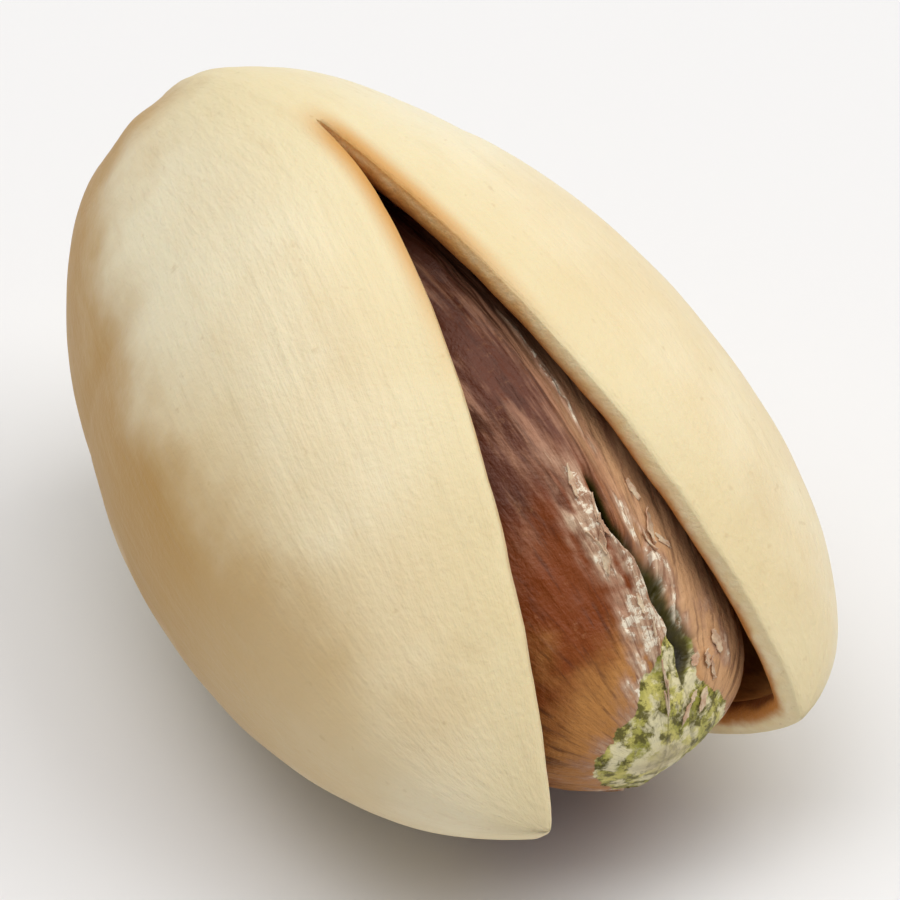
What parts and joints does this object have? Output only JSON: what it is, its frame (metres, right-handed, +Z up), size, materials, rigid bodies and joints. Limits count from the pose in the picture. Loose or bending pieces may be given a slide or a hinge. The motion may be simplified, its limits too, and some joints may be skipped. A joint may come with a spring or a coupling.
{
  "type": "pistachio in shell",
  "caption": "Roasted pistachio lying in its split shell: a pale egg-shaped shell, joined at the base and gaping towards the tip, with the loose kernel showing in the mouth.",
  "frame": {"origin": "on the table, under the middle of the nut's bounding box", "axes": "+X from the base of the shell to its tip, +Z up out of the mouth, XZ is the plane of the seam"},
  "size_m": [0.0194, 0.0132, 0.0122],
  "materials": {
    "shell": "smooth pale cream, semi-matt",
    "kernel": "thin papery red-brown skin over green flesh"
  },
  "bodies": {
    "root": {"shell": "shell", "kernel": "kernel"}
  },
  "joints": []
}
